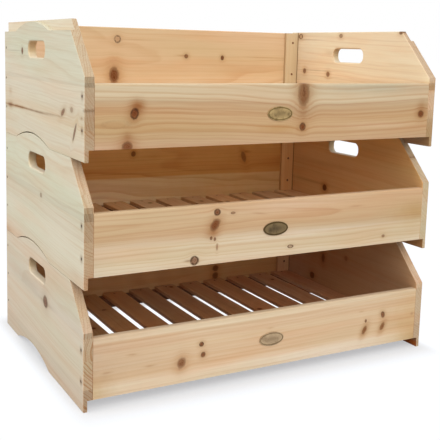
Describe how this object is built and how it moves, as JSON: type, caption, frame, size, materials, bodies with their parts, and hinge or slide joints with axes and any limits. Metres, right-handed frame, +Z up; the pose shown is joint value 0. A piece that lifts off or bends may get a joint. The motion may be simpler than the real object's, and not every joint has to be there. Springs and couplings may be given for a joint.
{
  "type": "potato storage bin",
  "caption": "Stackable wooden potato storage bin: slatted crates with scooped fronts and hand holes, whose lapped side panels lock each crate onto the one below.",
  "frame": {"origin": "middle of the whole stack's footprint box, level with the feet of the bottom crate", "axes": "+X to the right along the front boards, +Y towards the back board, +Z up through the stack"},
  "size_m": [0.6, 0.3912, 0.527],
  "materials": {
    "side_wood": "planed, unfinished softwood",
    "front_board_wood": "planed, unfinished softwood",
    "back_board_wood": "planed, unfinished softwood",
    "rail_wood": "sawn, unfinished softwood",
    "lath_wood": "planed, unfinished softwood",
    "slat_wood": "planed, unfinished softwood",
    "badge_metal": "stamped, slightly dulled",
    "nail_steel": "dulled wire nail"
  },
  "bodies": {
    "bottom_crate": {"bottom_left_side": "side_wood", "bottom_right_side": "side_wood", "bottom_front_board": "front_board_wood", "bottom_back_board": "back_board_wood", "bottom_front_rail": "rail_wood", "bottom_rear_rail": "rail_wood", "bottom_corner_laths": "lath_wood", "bottom_badge": "badge_metal", "bottom_nails": "nail_steel", "bottom_slat_01": "slat_wood", "bottom_slat_02": "slat_wood", "bottom_slat_03": "slat_wood", "bottom_slat_04": "slat_wood", "bottom_slat_05": "slat_wood", "bottom_slat_06": "slat_wood", "bottom_slat_07": "slat_wood", "bottom_slat_08": "slat_wood", "bottom_slat_09": "slat_wood", "bottom_slat_10": "slat_wood", "bottom_slat_11": "slat_wood"},
    "middle_crate": {"middle_left_side": "side_wood", "middle_right_side": "side_wood", "middle_front_board": "front_board_wood", "middle_back_board": "back_board_wood", "middle_front_rail": "rail_wood", "middle_rear_rail": "rail_wood", "middle_corner_laths": "lath_wood", "middle_badge": "badge_metal", "middle_nails": "nail_steel", "middle_slat_01": "slat_wood", "middle_slat_02": "slat_wood", "middle_slat_03": "slat_wood", "middle_slat_04": "slat_wood", "middle_slat_05": "slat_wood", "middle_slat_06": "slat_wood", "middle_slat_07": "slat_wood", "middle_slat_08": "slat_wood", "middle_slat_09": "slat_wood", "middle_slat_10": "slat_wood", "middle_slat_11": "slat_wood"},
    "top_crate": {"top_left_side": "side_wood", "top_right_side": "side_wood", "top_front_board": "front_board_wood", "top_back_board": "back_board_wood", "top_front_rail": "rail_wood", "top_rear_rail": "rail_wood", "top_corner_laths": "lath_wood", "top_badge": "badge_metal", "top_nails": "nail_steel", "top_slat_01": "slat_wood", "top_slat_02": "slat_wood", "top_slat_03": "slat_wood", "top_slat_04": "slat_wood", "top_slat_05": "slat_wood", "top_slat_06": "slat_wood", "top_slat_07": "slat_wood", "top_slat_08": "slat_wood", "top_slat_09": "slat_wood", "top_slat_10": "slat_wood", "top_slat_11": "slat_wood"}
  },
  "joints": [
    {"name": "middle_crate_lift", "type": "slide", "parent": "bottom_crate", "child": "middle_crate", "axis": [0, 0, 1], "range_m": [0, 0.1]},
    {"name": "top_crate_lift", "type": "slide", "parent": "middle_crate", "child": "top_crate", "axis": [0, 0, 1], "range_m": [0, 0.1]}
  ]
}
